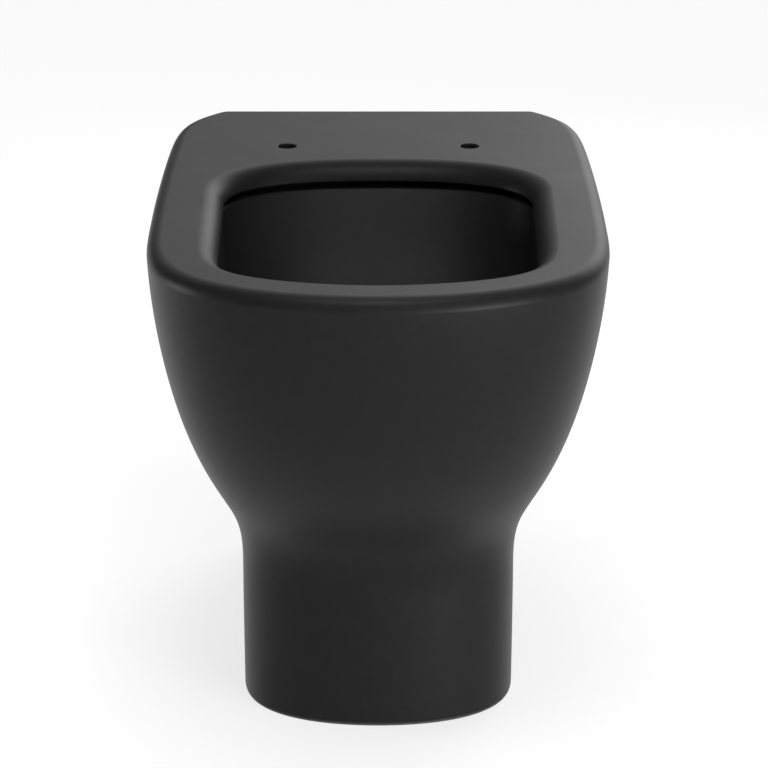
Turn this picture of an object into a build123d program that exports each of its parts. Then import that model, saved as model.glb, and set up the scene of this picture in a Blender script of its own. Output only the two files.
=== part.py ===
from build123d import *
import os

os.makedirs("parts", exist_ok=True)

# A back to wall toilet pan. X runs across, Y runs towards the wall and Z is up. The origin is on the
# floor under the middle of the pan. A "reach" is a distance out from the wall into the room.

# Overall sizes of the pan
width = 365.0
depth = 550.0
height = 400.0
wall = 12.0                     # thickness of the fired ceramic
hollow_lift = 4.0               # keeps that thickness where the flank leans out
rim_radius = 12.0               # rounding of the outer top edge
foot_radius = 2.0

# Outline in plan, at the rim and at the waist where the pedestal meets the bowl. The shoulder is the
# curve from the wall to the widest point, and it starts behind the wall plane, where it is cut off.
# Its tucks are shares of the narrowing towards the wall. The nose values place the handles of the
# front curve: along the side, back from it, forward, and along the front.
widest_reach = 327.0
rim_half_at_wall = 147.7
waist_half = 111.0
waist_half_at_wall = 105.0
waist_front = 427.0
past_wall = 30.0
shoulder_reaches = (-past_wall, 33.8, 50.0, 92.3)
shoulder_tucks = (1.87, -0.224, 0.384, 0.0)
rim_nose = (0.549, 1.000, 0.783, 0.552)
waist_nose = (0.540, 0.824, 0.817, 0.456)

# Profile of the side: heights, with shares of the way out from the waist to the rim
waist_height = 110.0
foot_profile = ((-0.010, 0.0), (0.0, 0.5 * waist_height), (0.0, waist_height))
flank_profile = ((0.0, waist_height), (0.0, 192.0), (0.533, 157.4), (0.992, 314.0), (1.005, height))

# Bowl opening, with the flush slot under the rim and the channel behind the slot
opening_rear = 170.5
opening_front = 498.6
opening_half = 126.6
side_reaches = (247.0, 372.0)   # ends of the straight part of each side
side_taper = 0.008              # narrowing of that part towards the front, each side
rear_corner = ((0.0, 0.0), (60.4, 0.0), (112.0, 9.0))       # handles: x, distance from the rear
rear_corner_handle = 30.0       # the last handle, back along the side
front_corner = ((122.0, 27.0), (61.0, 0.0), (0.0, 0.0))     # handles: x, distance from the front
front_corner_handle = 95.0      # the first handle, forward along the side
roll_radius = 13.0              # rounding from the deck down into the bowl
overhang = 16.0                 # height of the rim above the slot
slot_height = 6.0
slot_edge_radius = 1.2
lip_setback = 2.5
lip_thickness = 8.5
lip_radius = 3.0
channel_width = 12.0
channel_depth = 22.0
channel_wall = 10.0

# Bowl levels below the lip: height, rear reach, front reach and half-width
bowl_levels = (
    (332.0, 199.0, 494.0, 123.0),
    (282.0, 236.0, 474.0, 108.0),
    (230.0, 262.0, 438.0, 86.0),
    (180.0, 274.0, 400.0, 64.0),
    (140.0, 279.0, 374.0, 50.0),
    (114.0, 286.0, 364.0, 43.0),
    (104.0, 300.0, 350.0, 30.0),
)
sump_wall = 14.0                # thickness below the bottom of the sump

# Trapway, from the sump over the weir to the outlet
trap_bore = 56.0
trap_wall = 10.0
trap_route = ((325.0, 130.0), (252.0, 130.0), (181.0, 302.0), (126.0, 185.0), (96.0, 185.0))
trap_bends = (50.0, 45.0, 40.0)
outlet_height = trap_route[-1][1]
outlet_diameter = 102.0
outlet_bore = 85.0
outlet_end_reach = 70.0
outlet_length = 30.0
outlet_flare = 14.0
spigot_radius = 2.0             # rounding at the ends of the outlet and the flush inlet

# Flush inlet, and the chamber that takes its water up to the channel
inlet_height = 330.0
inlet_diameter = 76.0
inlet_bore = 55.0
inlet_end_reach = 100.0
inlet_bore_end_reach = 165.0
chamber_width = 54.0
chamber_rear_reach = 140.0
chamber_wall = 10.0

# Holes for the seat bolts and for the side fixings
seat_spacing = 155.0
seat_reach = 115.0
seat_hole = 15.5
seat_hole_radius = 1.2
side_hole = 14.0
side_reach = 140.0
side_height = 42.0

# Side fixing, one on each side: sleeve, washer, screw and cap outside, bracket and nut inside
sleeve_clearance = 0.25
sleeve_gap = 0.3                # flange to ceramic, bedded on the glaze
sleeve_flange = 20.0
sleeve_flange_thickness = 1.3
screw_diameter = 6.0
screw_clearance = 0.3
screw_head = 10.5
screw_head_height = 3.0
screw_socket = 4.0
screw_socket_depth = 1.9
screw_end_past_nut = 4.0
washer_diameter = 12.0
washer_thickness = 1.0
cap_wall = 1.0
cap_clearance = 0.1
cap_headroom = 0.2
cap_edge_radius = 0.8

# Floor bracket inside the skirt
bracket_gap = 3.0               # from the ceramic to the upright
bracket_thickness = 4.0
bracket_width = 46.0
bracket_height = 64.0
bracket_base = 44.0
bracket_corner_radius = 5.0
bracket_gusset = 26.0
floor_hole = 10.0
floor_hole_inset = 28.0         # from the upright's outer face
nut_width = 10.0
nut_thickness = 5.0
nut_clearance = 0.2
thread_clearance = 0.1
pocket_wall = 2.0

# Rubber seal in the flush inlet, with a collar for the end of the flush pipe
seal_bore = 44.0
seal_bore_depth = 34.0          # to the shoulder that stops the pipe
seal_throat = 42.0
seal_collar = 54.0
seal_collar_length = 24.0
seal_barrel = 51.0
seal_length = 34.0
seal_fins = 3
seal_fin_thickness = 2.5
seal_clearance = 0.15
seal_flange = 68.0
seal_flange_thickness = 4.0
seal_edge_radius = 1.5

# Levels and widths that follow from the sizes above
deck_underside = height - wall
slot_top = height - overhang
lip_top = slot_top - slot_height
channel_floor = slot_top - channel_depth
channel_inside = lip_setback + lip_thickness
channel_outside = channel_inside + channel_width
rim_box = channel_outside + channel_wall
rim_box_floor = channel_floor - channel_wall
above_deck = 5.0
match = 0.01                    # tolerance for finding edges by their place


def y_of(reach):
    """Y of a point at this reach from the wall."""
    return depth / 2 - reach


def between(low, high, share):
    return low + (high - low) * share


def bezier_value(values, t):
    """Value at t of the Bezier curve through a row of control values."""
    while len(values) > 1:
        values = [between(a, b, t) for a, b in zip(values, values[1:])]
    return values[0]


def edges_at(edges, axis, place):
    """Those edges whose middle is at this place along an axis."""
    return edges.filter_by_position(axis, place - match, place + match)


def body_curves(share, inset):
    """Control points of the right half of the outline: shoulder and nose, as (x, y)."""
    half = between(waist_half, width / 2, share) - inset
    half_at_wall = between(waist_half_at_wall, rim_half_at_wall, share) - inset
    front = between(waist_front, depth, share) - inset
    along, aside, forward, across = [between(a, b, share) for a, b in zip(waist_nose, rim_nose)]
    corner = half - half_at_wall
    run = front - widest_reach
    shoulder = (
        *((half - tuck * corner, y_of(reach)) for tuck, reach in zip(shoulder_tucks, shoulder_reaches)),
        (half, y_of(widest_reach)),
    )
    nose = (
        (half, y_of(widest_reach)),
        (half, y_of(widest_reach + along * run)),
        (half * aside, y_of(widest_reach + forward * run)),
        (half * across, y_of(front)),
        (0, y_of(front)),
    )
    return shoulder, nose


def body_form(inset=0.0, lift=0.0):
    """Solid inside the pan's outline: one smooth surface for each curve above and below the waist."""
    foot = [(share, level + lift) for share, level in foot_profile]
    foot[0] = (foot_profile[0][0], -inset)
    flank = [(share, level + lift) for share, level in flank_profile]
    skins = []
    for profile in (foot, flank):
        for side in (1, -1):
            for curve in (0, 1):
                rows = [
                    [Vector(side * x, y, level) for x, y in body_curves(share, inset)[curve]]
                    for share, level in profile
                ]
                skins.append(Face.make_bezier_surface(rows))
    ends = []
    for share, level in (foot[0], flank[-1]):
        corner = body_curves(share, inset)[0][0]
        ends.append(Edge.make_line((-corner[0], corner[1], level), (corner[0], corner[1], level)))
    edges = ShapeList(edge for skin in skins for edge in skin.edges())
    bottom = edges_at(edges, Axis.Z, foot[0][1])
    top = edges_at(edges, Axis.Z, flank[-1][1])
    back = edges_at(edges, Axis.Y, y_of(-past_wall))
    skins.append(Face(Wire([*bottom, ends[0]])))
    skins.append(Face(Wire([*top, ends[1]])))
    skins.append(Face(Wire([*back, *ends])))
    return Solid(Shell(skins))


def opening_section(level, growth=0.0, rear=opening_rear, front=opening_front, half=opening_half):
    """Plan section with the opening's outline, fitted to its rear and front reach and half-width."""
    rear, front, half = rear - growth, front + growth, half + growth
    stretch = (front - rear) / (opening_front - opening_rear)
    swell = half / opening_half

    def point(x, reach):
        return (x * swell, y_of(rear + (reach - opening_rear) * stretch))

    def side_point(reach):
        return point(opening_half - side_taper * (reach - side_reaches[0]), reach)

    shoulder = (
        *(point(x, opening_rear + ahead) for x, ahead in rear_corner),
        side_point(side_reaches[0] - rear_corner_handle),
        side_point(side_reaches[0]),
    )
    nose = (
        side_point(side_reaches[1]),
        side_point(side_reaches[1] + front_corner_handle),
        *(point(x, opening_front - back) for x, back in front_corner),
    )
    with BuildSketch(Plane.XY.offset(level)) as section:
        with BuildLine():
            Bezier(*shoulder)
            Line(shoulder[-1], nose[0])
            Bezier(*nose)
            mirror(about=Plane.YZ)
        make_face()
    return section.sketch


def bowl_form(growth=0.0, drop=0.0):
    """Solid through the bowl's levels, grown all round, and lowered more and more to its bottom."""
    with BuildPart() as form:
        add(opening_section(lip_top, lip_setback + growth))
        for step, (level, rear, front, half) in enumerate(bowl_levels, 1):
            lowered = level - drop * step / len(bowl_levels)
            add(opening_section(lowered, growth, rear, front, half))
        loft()
    return form.part


def trap_form(diameter):
    """Round bar along the trapway."""
    with BuildPart() as form:
        with BuildLine(Plane.YZ) as route:
            FilletPolyline(*[(y_of(reach), level) for reach, level in trap_route], radius=trap_bends)
        with BuildSketch(Plane(origin=route.line @ 0, z_dir=route.line % 0)):
            Circle(diameter / 2)
        sweep()
    return form.part


def bar_to_wall(diameter, level, near_reach, far_reach):
    """Round bar square to the wall, between two reaches."""
    with BuildPart() as bar:
        with BuildSketch(Plane.XZ.offset(-y_of(near_reach))):
            with Locations((0, level)):
                Circle(diameter / 2)
        extrude(amount=far_reach - near_reach)
    return bar.part


def outlet_form(end_diameter, root_diameter, end_reach):
    """Straight end of the outlet with its flare down to the trapway."""
    flare_reach = outlet_end_reach + outlet_length
    root_reach = flare_reach + outlet_flare
    axis_line = Axis((0, 0, outlet_height), (0, 1, 0))
    with BuildPart() as form:
        with BuildSketch(Plane.YZ):
            Polygon(
                (y_of(end_reach), outlet_height),
                (y_of(end_reach), outlet_height + end_diameter / 2),
                (y_of(flare_reach), outlet_height + end_diameter / 2),
                (y_of(root_reach), outlet_height + root_diameter / 2),
                (y_of(root_reach), outlet_height),
                align=None,
            )
        revolve(axis=axis_line)
    return form.part


def ring_form(low, high, inside, outside):
    """Upright ring that follows the opening, between two growths of its outline."""
    with BuildPart() as ring:
        with BuildSketch(Plane.XY.offset(low)):
            add(opening_section(low, outside))
            add(opening_section(low, inside), mode=Mode.SUBTRACT)
        extrude(amount=high - low)
    return ring.part


def block(x_size, reaches, levels):
    """Block centred on the pan, between two reaches and two levels."""
    with BuildPart() as form:
        with BuildSketch(Plane.XY.offset(levels[0])):
            with Locations((0, y_of(sum(reaches) / 2))):
                Rectangle(x_size, abs(reaches[1] - reaches[0]))
        extrude(amount=levels[1] - levels[0])
    return form.part


def bar_across(diameter, near_x, far_x):
    """Round bar on the axis of the right-hand side fixing, between two distances from the middle."""
    with BuildPart() as bar:
        with BuildSketch(Plane.YZ.offset(near_x)):
            with Locations((y_of(side_reach), side_height)):
                Circle(diameter / 2)
        extrude(amount=far_x - near_x)
    return bar.part


def side_face():
    """Distance from the middle to the outside of the pedestal at the side fixing."""
    shoulder = body_curves(0.0, 0.0)[0]
    low, high = 0.0, 1.0
    for _ in range(30):
        middle = (low + high) / 2
        if bezier_value([y for x, y in shoulder], middle) > y_of(side_reach):
            low = middle
        else:
            high = middle
    return bezier_value([x for x, y in shoulder], low)


def opening_edges(edges, growth):
    """Those edges that follow the opening at this growth of its outline."""
    reach = (opening_rear - growth - 1.0, opening_front + growth + 1.0)
    half = opening_half + growth + 1.0
    inside = edges.filter_by_position(Axis.Y, y_of(reach[1]), y_of(reach[0]))
    inside = inside.filter_by_position(Axis.X, -half, half)
    return inside.filter_by(lambda edge: edge.length > opening_half / 2)


# The outer casting: filleted form, cut square at the wall and hollowed from below and behind
with BuildPart() as hollow:
    add(body_form(wall, hollow_lift))
    split(bisect_by=Plane.XY.offset(deck_underside), keep=Keep.BOTTOM)

with BuildPart() as casting:
    add(body_form())
    for level, radius in ((height, rim_radius), (0.0, foot_radius)):
        outline = edges_at(casting.edges(), Axis.Z, level)
        fillet(outline.filter_by_position(Axis.Y, -depth, depth / 2), radius)
    split(bisect_by=Plane.XZ.offset(-depth / 2), keep=Keep.TOP)
    add(hollow.part, mode=Mode.SUBTRACT)

# What hangs inside the casting: bowl, rim box, chamber, flush inlet, trapway and outlet
with BuildPart() as inner_body:
    add(bowl_form(wall, sump_wall))
    with BuildSketch(Plane.XY.offset(rim_box_floor)):
        add(opening_section(rim_box_floor, rim_box))
    extrude(amount=deck_underside + wall / 2 - rim_box_floor)
    add(block(
        chamber_width + 2 * chamber_wall,
        (chamber_rear_reach - chamber_wall, opening_rear + rim_box),
        (inlet_height, deck_underside + wall / 2),
    ))
    add(bar_to_wall(inlet_diameter, inlet_height, inlet_end_reach, opening_rear + 4 * wall))
    add(trap_form(trap_bore + 2 * trap_wall))
    add(outlet_form(outlet_diameter, trap_bore + 2 * trap_wall, outlet_end_reach))

with BuildPart() as pan_body:
    add(casting.part)
    add(inner_body.part)
    add(bowl_form(), mode=Mode.SUBTRACT)
    with BuildSketch(Plane.XY.offset(slot_top)):
        add(opening_section(slot_top))
    extrude(amount=height + above_deck - slot_top, mode=Mode.SUBTRACT)
    with BuildSketch(Plane.XY.offset(lip_top)):
        add(opening_section(lip_top, channel_inside))
    extrude(amount=slot_height, mode=Mode.SUBTRACT)
    add(ring_form(channel_floor, slot_top, channel_inside, channel_outside), mode=Mode.SUBTRACT)
    add(block(
        chamber_width,
        (chamber_rear_reach, opening_rear - channel_inside),
        (inlet_height, slot_top),
    ), mode=Mode.SUBTRACT)
    add(bar_to_wall(inlet_bore, inlet_height, inlet_end_reach - wall, inlet_bore_end_reach),
        mode=Mode.SUBTRACT)
    add(trap_form(trap_bore), mode=Mode.SUBTRACT)
    add(outlet_form(outlet_bore, trap_bore, outlet_end_reach - wall), mode=Mode.SUBTRACT)
    with Locations((-seat_spacing / 2, y_of(seat_reach), height),
                   (seat_spacing / 2, y_of(seat_reach), height)):
        Hole(seat_hole / 2, depth=2 * wall)
    with BuildSketch(Plane.YZ):
        with Locations((y_of(side_reach), side_height)):
            Circle(side_hole / 2)
    extrude(amount=width, both=True, mode=Mode.SUBTRACT)
    for reach in (outlet_end_reach, inlet_end_reach):
        fillet(edges_at(pan_body.edges(), Axis.Y, y_of(reach)), spigot_radius)
    fillet(edges_at(pan_body.edges(), Axis.Z, height).filter_by(GeomType.CIRCLE), seat_hole_radius)
    for level, growth, radius in (
        (height, 0.0, roll_radius),
        (slot_top, 0.0, slot_edge_radius),
        (lip_top, lip_setback, lip_radius),
    ):
        fillet(opening_edges(edges_at(pan_body.edges(), Axis.Z, level), growth), radius)
pan_body.part.label = "pan_body"
export_step(pan_body.part, "parts/pan_body.step")

# Side fixing on the right: the stations along its axis, from the cap inwards
face = side_face()
flange_back = face + sleeve_gap
flange_front = flange_back + sleeve_flange_thickness
washer_front = flange_front + washer_thickness
head_front = washer_front + screw_head_height
upright_outside = face - wall - bracket_gap
upright_inside = upright_outside - bracket_thickness
nut_end = upright_inside - nut_thickness
cap_bore = sleeve_flange + 2 * cap_clearance
screw_hole = screw_diameter + 2 * screw_clearance

with BuildPart() as side_sleeve:
    add(bar_across(side_hole - 2 * sleeve_clearance, face - wall, flange_front))
    add(bar_across(sleeve_flange, flange_back, flange_front))
    add(bar_across(screw_hole, face - 2 * wall, face + wall), mode=Mode.SUBTRACT)

with BuildPart() as screw_washer:
    add(bar_across(washer_diameter, flange_front, washer_front))
    add(bar_across(screw_hole, face - wall, face + wall), mode=Mode.SUBTRACT)

with BuildPart() as side_screw:
    add(bar_across(screw_diameter, nut_end - screw_end_past_nut, washer_front))
    chamfer(side_screw.faces().sort_by(Axis.X)[0].edges(), screw_diameter / 10)
    add(bar_across(screw_head, washer_front, head_front))
    fillet(side_screw.faces().sort_by(Axis.X)[-1].edges(), screw_head / 12)
    with BuildSketch(Plane.YZ.offset(head_front)):
        with Locations((y_of(side_reach), side_height)):
            RegularPolygon(screw_socket / 2, 6, major_radius=False)
    extrude(amount=-screw_socket_depth, mode=Mode.SUBTRACT)

with BuildPart() as cover_cap:
    cap_inside = head_front + cap_headroom
    add(bar_across(cap_bore + 2 * cap_wall, flange_back + cap_clearance, cap_inside + cap_wall))
    fillet(cover_cap.faces().sort_by(Axis.X)[-1].edges(), cap_edge_radius)
    add(bar_across(cap_bore, face - wall, cap_inside), mode=Mode.SUBTRACT)

with BuildPart() as bracket_nut:
    with BuildSketch(Plane.YZ.offset(nut_end)):
        with Locations((y_of(side_reach), side_height)):
            Rectangle(nut_width, nut_width)
            Circle(screw_diameter / 2 + thread_clearance, mode=Mode.SUBTRACT)
    extrude(amount=nut_thickness)

with BuildPart() as floor_bracket:
    with BuildSketch(Plane.XY):
        with Locations((upright_outside - bracket_base / 2, y_of(side_reach))):
            Rectangle(bracket_base, bracket_width)
        with Locations((upright_outside - floor_hole_inset, y_of(side_reach))):
            Circle(floor_hole / 2, mode=Mode.SUBTRACT)
    extrude(amount=bracket_thickness)
    fillet(floor_bracket.edges().filter_by(Axis.Z).group_by(Axis.X)[0], bracket_corner_radius)
    with BuildSketch(Plane.YZ.offset(upright_inside)):
        with Locations((y_of(side_reach), bracket_height / 2)):
            Rectangle(bracket_width, bracket_height)
    extrude(amount=bracket_thickness)
    fillet(floor_bracket.edges().filter_by(Axis.X).group_by(Axis.Z)[-1], bracket_corner_radius)
    gusset_middle = (bracket_width - bracket_thickness) / 2
    for side in (1, -1):
        with BuildSketch(Plane.XZ.offset(-y_of(side_reach) + side * gusset_middle)):
            Polygon(
                (upright_inside, bracket_thickness),
                (upright_inside - bracket_gusset, bracket_thickness),
                (upright_inside, bracket_thickness + bracket_gusset),
                align=None,
            )
        extrude(amount=bracket_thickness / 2, both=True)
    pocket_bore = nut_width + 2 * nut_clearance
    with BuildSketch(Plane.YZ.offset(upright_inside)):
        with Locations((y_of(side_reach), side_height)):
            Rectangle(pocket_bore + 2 * pocket_wall, pocket_bore + 2 * pocket_wall)
            Rectangle(pocket_bore, pocket_bore, mode=Mode.SUBTRACT)
    extrude(amount=-nut_thickness)
    add(bar_across(screw_hole, upright_inside - bracket_thickness, face), mode=Mode.SUBTRACT)

# Each piece of the side fixing is written as it stands and as its mirror image on the left
for piece, name in (
    (side_sleeve, "side_sleeve"),
    (screw_washer, "screw_washer"),
    (side_screw, "side_screw"),
    (cover_cap, "cover_cap"),
    (bracket_nut, "bracket_nut"),
    (floor_bracket, "floor_bracket"),
):
    piece.part.label = name + "_right"
    export_step(piece.part, "parts/" + name + "_right.step")
    with BuildPart() as left:
        mirror(piece.part, about=Plane.YZ)
    left.part.label = name + "_left"
    export_step(left.part, "parts/" + name + "_left.step")

# Rubber seal: a finned sleeve in the flush inlet, a flange against its end and a collar behind that
with BuildPart() as inlet_seal:
    flange_reach = inlet_end_reach - seal_flange_thickness
    collar_reach = flange_reach - seal_collar_length
    seal_end = inlet_end_reach + seal_length
    fin_pitch = seal_length / (seal_fins + 1)
    add(bar_to_wall(seal_barrel, inlet_height, inlet_end_reach, seal_end))
    add(bar_to_wall(seal_flange, inlet_height, flange_reach, inlet_end_reach))
    fillet(inlet_seal.faces().sort_by(Axis.Y)[-1].edges(), seal_edge_radius)
    add(bar_to_wall(seal_collar, inlet_height, collar_reach, flange_reach))
    fillet(inlet_seal.faces().sort_by(Axis.Y)[-1].edges(), seal_edge_radius)
    for fin in range(seal_fins):
        reach = inlet_end_reach + (fin + 1) * fin_pitch
        add(bar_to_wall(inlet_bore - 2 * seal_clearance, inlet_height, reach,
                        reach + seal_fin_thickness))
    add(bar_to_wall(seal_throat, inlet_height, collar_reach, seal_end + wall), mode=Mode.SUBTRACT)
    add(bar_to_wall(seal_bore, inlet_height, collar_reach - wall, collar_reach + seal_bore_depth),
        mode=Mode.SUBTRACT)
inlet_seal.part.label = "inlet_seal"
export_step(inlet_seal.part, "parts/inlet_seal.step")
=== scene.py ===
"""Looks of a back to wall toilet pan: glazed ceramic, hidden fixings, rubber seal and a plain studio.

Lengths are in metres. X runs across, Y runs towards the wall and Z is up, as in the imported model. A
reach is a distance out from the wall into the room.
"""

import logging
import math
from collections.abc import Iterable, Iterator, Sequence
from contextlib import contextmanager
from dataclasses import dataclass, field
from enum import Enum

import bmesh
import bpy
import numpy as np
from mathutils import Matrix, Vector, geometry


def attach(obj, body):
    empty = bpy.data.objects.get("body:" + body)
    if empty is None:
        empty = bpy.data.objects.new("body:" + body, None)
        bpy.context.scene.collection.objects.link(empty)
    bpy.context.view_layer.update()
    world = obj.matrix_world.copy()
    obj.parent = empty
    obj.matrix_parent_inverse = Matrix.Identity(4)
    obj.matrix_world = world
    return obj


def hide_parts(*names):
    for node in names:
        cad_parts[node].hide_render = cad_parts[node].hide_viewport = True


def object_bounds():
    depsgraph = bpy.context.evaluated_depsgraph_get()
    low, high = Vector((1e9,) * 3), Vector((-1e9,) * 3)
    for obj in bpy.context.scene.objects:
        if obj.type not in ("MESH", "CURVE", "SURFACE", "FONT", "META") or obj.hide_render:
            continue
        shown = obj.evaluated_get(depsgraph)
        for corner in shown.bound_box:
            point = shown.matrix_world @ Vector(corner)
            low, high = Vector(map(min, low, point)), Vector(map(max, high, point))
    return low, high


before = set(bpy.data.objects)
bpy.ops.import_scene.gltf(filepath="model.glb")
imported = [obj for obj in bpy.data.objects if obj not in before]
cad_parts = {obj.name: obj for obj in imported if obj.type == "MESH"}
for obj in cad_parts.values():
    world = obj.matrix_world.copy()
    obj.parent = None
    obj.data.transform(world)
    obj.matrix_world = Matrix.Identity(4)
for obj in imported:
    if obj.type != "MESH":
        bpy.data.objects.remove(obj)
cad_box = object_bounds()

log = logging.getLogger("pan")
Color = tuple[float, float, float]
Numbers = tuple[float, ...]
Pairs = Sequence[tuple[float, float]]
Row = tuple[np.ndarray, float | np.ndarray]
QUARTER = math.pi / 2
ROUND_POINTS = 48
ROUND = np.linspace(0.0, 2.0 * math.pi, ROUND_POINTS, endpoint=False)
WALL_Y = 0.275
PROFILE_SAMPLES = 4001
SAME_POINT = 1e-7
INSIDE_WITHOUT_HOLES = 2
MIX_FACTOR, MIX_FIRST, MIX_SECOND, MIX_RESULT = 0, 6, 7, 2


class Link:
    """A node's output, as it is passed on to other nodes."""

    def __init__(self, shader: "Shader", output: bpy.types.NodeSocket) -> None:
        """Wraps one output of a node in a shader's tree."""
        self.shader = shader
        self.output = output


class Socket(Link):
    """A node's output as a number in shader maths. Its operators add Math nodes."""

    def math(self, operation: str, *values: "Value", clamp: bool = False) -> "Socket":
        """Adds a Math node.

        Args:
            operation: the node's operation.
            values: its inputs in order.
            clamp: whether its result is held between 0 and 1.

        Returns:
            The node's result.
        """
        settings = {"operation": operation, "use_clamp": clamp}
        made = self.shader.node("ShaderNodeMath", settings, dict(enumerate(values)))
        return Socket(self.shader, made.outputs[0])

    def __add__(self, other: "Value") -> "Socket":
        """Sum."""
        return self.math("ADD", self, other)

    def __radd__(self, other: "Value") -> "Socket":
        """Sum, with this one on the right."""
        return self.math("ADD", other, self)

    def __sub__(self, other: "Value") -> "Socket":
        """Difference."""
        return self.math("SUBTRACT", self, other)

    def __rsub__(self, other: "Value") -> "Socket":
        """Difference, with this one on the right."""
        return self.math("SUBTRACT", other, self)

    def __mul__(self, other: "Value") -> "Socket":
        """Product."""
        return self.math("MULTIPLY", self, other)

    def __rmul__(self, other: "Value") -> "Socket":
        """Product, with this one on the right."""
        return self.math("MULTIPLY", other, self)

    def __pow__(self, other: "Value") -> "Socket":
        """Power."""
        return self.math("POWER", self, other)

    def __rpow__(self, other: "Value") -> "Socket":
        """Power, with this one as the exponent."""
        return self.math("POWER", other, self)

    def most(self, other: "Value") -> "Socket":
        """The larger of the two."""
        return self.math("MAXIMUM", self, other)

    def held(self) -> "Socket":
        """This value held between 0 and 1."""
        return self.math("ADD", self, 0.0, clamp=True)

    def ramp(self, low: float, high: float) -> "Socket":
        """Smooth step of this value.

        Args:
            low: the value that gives 0.
            high: the value that gives 1, which may be the smaller number.

        Returns:
            The step, from 0 to 1.
        """
        settings = {"interpolation_type": "SMOOTHSTEP", "clamp": True}
        inputs = {"Value": self, "From Min": low, "From Max": high}
        made = self.shader.node("ShaderNodeMapRange", settings, inputs)
        return Socket(self.shader, made.outputs["Result"])


class Arrow(Link):
    """A node's output as a vector or a colour. Its operators add Vector Math nodes."""

    def math(self, operation: str, *values: "Value") -> bpy.types.Node:
        """Adds a Vector Math node with these inputs and returns it."""
        return self.shader.node("ShaderNodeVectorMath", {"operation": operation}, dict(enumerate(values)))

    def __mul__(self, other: "Value") -> "Arrow":
        """Product, number by number."""
        return Arrow(self.shader, self.math("MULTIPLY", self, other).outputs[0])

    def __rmul__(self, other: "Value") -> "Arrow":
        """Product, number by number, with this one on the right."""
        return Arrow(self.shader, self.math("MULTIPLY", other, self).outputs[0])

    def dot(self, other: "Value") -> Socket:
        """Dot product."""
        return Socket(self.shader, self.math("DOT_PRODUCT", self, other).outputs["Value"])

    def parts(self) -> tuple[Socket, Socket, Socket]:
        """The X, Y and Z of the vector."""
        made = self.shader.node("ShaderNodeSeparateXYZ", {}, {0: self})
        return tuple(Socket(self.shader, output) for output in made.outputs)


Value = Link | float | Sequence[float]


class Shader:
    """A node tree of a material or of the world, filled by expressions."""

    def __init__(self, tree: bpy.types.NodeTree) -> None:
        """Starts from an empty tree."""
        tree.nodes.clear()
        self.tree = tree

    def node(self, kind: str, settings: dict[str, object], inputs: dict[int | str, Value]) -> bpy.types.Node:
        """Adds a node.

        Args:
            kind: the node's type.
            settings: its properties, which are set before its sockets.
            inputs: a value or a link for each socket, by place or name.

        Returns:
            The node.
        """
        made = self.tree.nodes.new(kind)
        for name, value in settings.items():
            setattr(made, name, value)
        for key, value in inputs.items():
            socket = made.inputs[key]
            if isinstance(value, Link):
                self.tree.links.new(value.output, socket)
            elif socket.type == "RGBA":
                socket.default_value = (*value, 1.0)
            else:
                socket.default_value = value
        return made

    def place(self, kind: str = "Object") -> Arrow:
        """The shaded point in the model's own frame, or another texture coordinate."""
        return Arrow(self, self.node("ShaderNodeTexCoord", {}, {}).outputs[kind])

    def noise(self, size: float, detail: float, stretch: Sequence[float] = (1.0, 1.0, 1.0)) -> Socket:
        """Noise about a half, with features of about this size.

        Args:
            size: width of the features in metres.
            detail: number of finer layers.
            stretch: how many times narrower the features are along each axis.

        Returns:
            The noise, mostly between 0.2 and 0.8.
        """
        where = self.place() * tuple(part / size for part in stretch)
        made = self.node("ShaderNodeTexNoise", {}, {"Vector": where, "Scale": 1.0, "Detail": detail})
        return Socket(self, made.outputs["Fac"])

    def specks(self, spacing: float, share: float) -> Socket:
        """Round specks.

        Args:
            spacing: distance between specks in metres.
            share: radius of a speck as a share of that distance.

        Returns:
            A mask that is 1 at the middle of each speck.
        """
        where = self.place() * (1 / spacing, 1 / spacing, 1 / spacing)
        made = self.node("ShaderNodeTexVoronoi", {}, {"Vector": where, "Scale": 1.0})
        return Socket(self, made.outputs["Distance"]).ramp(low=share, high=0.5 * share)

    def mix(self, factor: Value, first: Value, second: Value) -> Arrow:
        """A colour between two colours."""
        inputs = {MIX_FACTOR: factor, MIX_FIRST: first, MIX_SECOND: second}
        return Arrow(self, self.node("ShaderNodeMix", {"data_type": "RGBA"}, inputs).outputs[MIX_RESULT])

    def bump(self, height: Socket, depth: float, strength: float) -> Arrow:
        """A normal raised by a height, which is a share of the depth in metres."""
        inputs = {"Strength": strength, "Distance": depth, "Height": height}
        return Arrow(self, self.node("ShaderNodeBump", {}, inputs).outputs[0])

    def close(self, kind: str, node: bpy.types.Node) -> None:
        """Adds the output node of this kind and links a shader node to it."""
        self.node(kind, {}, {0: Link(self, node.outputs[0])})


@dataclass(frozen=True)
class Finish:
    """A finish: its name, its plain colour and roughness, and how it is drawn."""

    name: str
    color: Color
    roughness: float
    specular: float = 0.5

    def toned(self, tone: float) -> Color:
        """The plain colour made darker or paler."""
        return tuple(part * tone for part in self.color)

    def surface(self, shader: Shader) -> dict[str, Value]:
        """Inputs of the surface shader. Each finish overrides this with its own detail."""
        return {"Base Color": self.color}

    def material(self) -> bpy.types.Material:
        """Makes the material of this finish.

        Returns:
            The material.
        """
        made = bpy.data.materials.new(self.name)
        made.use_nodes = True
        shader = Shader(made.node_tree)
        inputs = {"Roughness": self.roughness, "Specular IOR Level": self.specular}
        inputs |= self.surface(shader)
        surface = shader.node("ShaderNodeBsdfPrincipled", {}, inputs)
        shader.close("ShaderNodeOutputMaterial", surface)
        return made


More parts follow.
